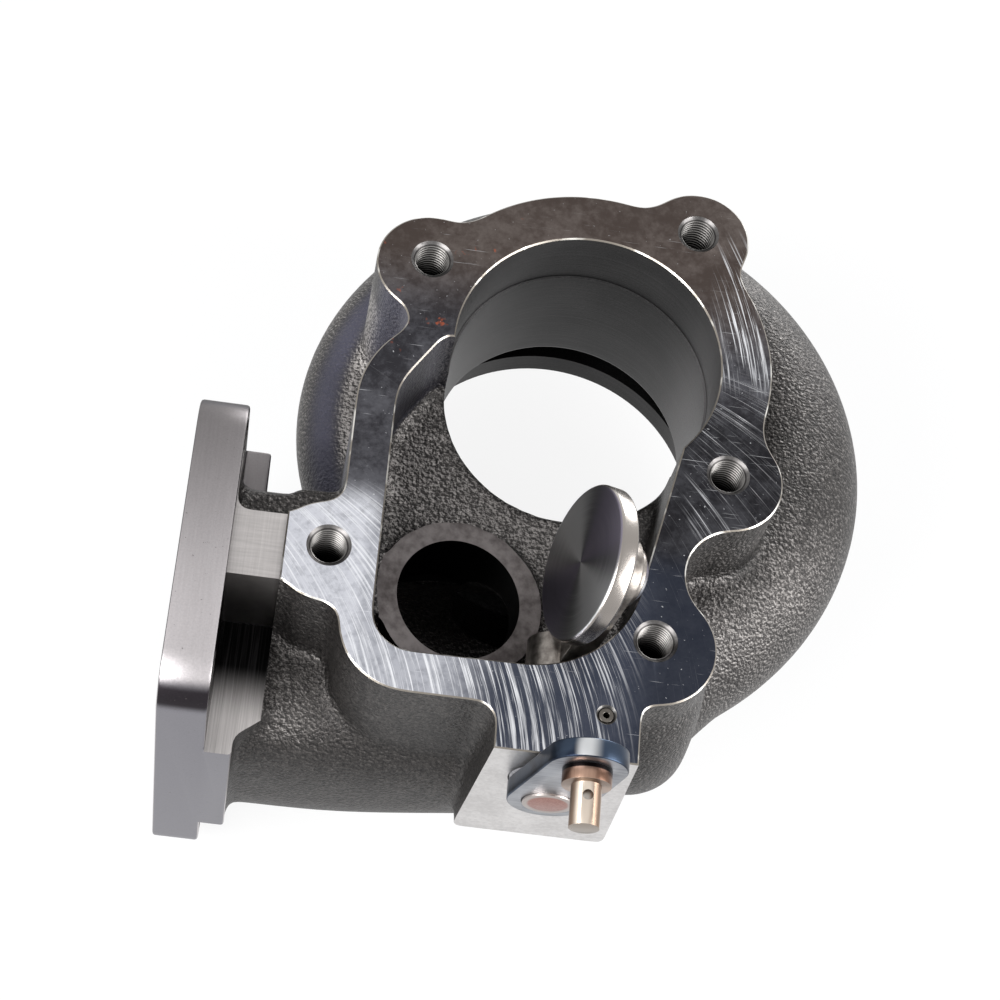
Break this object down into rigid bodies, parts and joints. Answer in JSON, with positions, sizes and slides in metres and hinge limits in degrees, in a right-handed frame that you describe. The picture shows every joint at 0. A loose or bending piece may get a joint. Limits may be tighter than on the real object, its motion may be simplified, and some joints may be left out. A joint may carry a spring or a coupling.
{
  "type": "turbocharger turbine housing",
  "caption": "Cast iron turbine housing of a turbocharger: gas inlet flange, scroll round the bore, lobed outlet face and a built-in wastegate flap worked by an outside lever.",
  "frame": {"origin": "on the bore axis, in the face that meets the centre housing", "axes": "+Z along the bore towards the outlet face; -X towards the face of the inlet flange; -Y towards the boss with the wastegate lever"},
  "size_m": [0.1439, 0.1659, 0.1117],
  "materials": {
    "cast_iron_body": "rough as cast, machined faces satin",
    "bushing_steel": "turned",
    "lock_pin_steel": "dull",
    "crank_steel": "forged and machined",
    "valve_steel": "turned and polished rim",
    "lever_steel": "blued satin",
    "lever_pin_plated": "satin, heat tinted"
  },
  "bodies": {
    "housing": {"turbine_housing": "cast_iron_body", "wastegate_bushing": "bushing_steel", "bushing_lock_pin": "lock_pin_steel"},
    "swing_arm": {"wastegate_crank": "crank_steel", "wastegate_valve": "valve_steel", "valve_washer": "valve_steel", "actuator_lever": "lever_steel", "lever_pin": "lever_pin_plated"}
  },
  "joints": [
    {"name": "wastegate_swing", "type": "hinge", "parent": "housing", "child": "swing_arm", "pos_m": [0.00007, -0.078, 0.05786], "axis": [0, 1, 0], "range_deg": [-100.5, 3]}
  ]
}
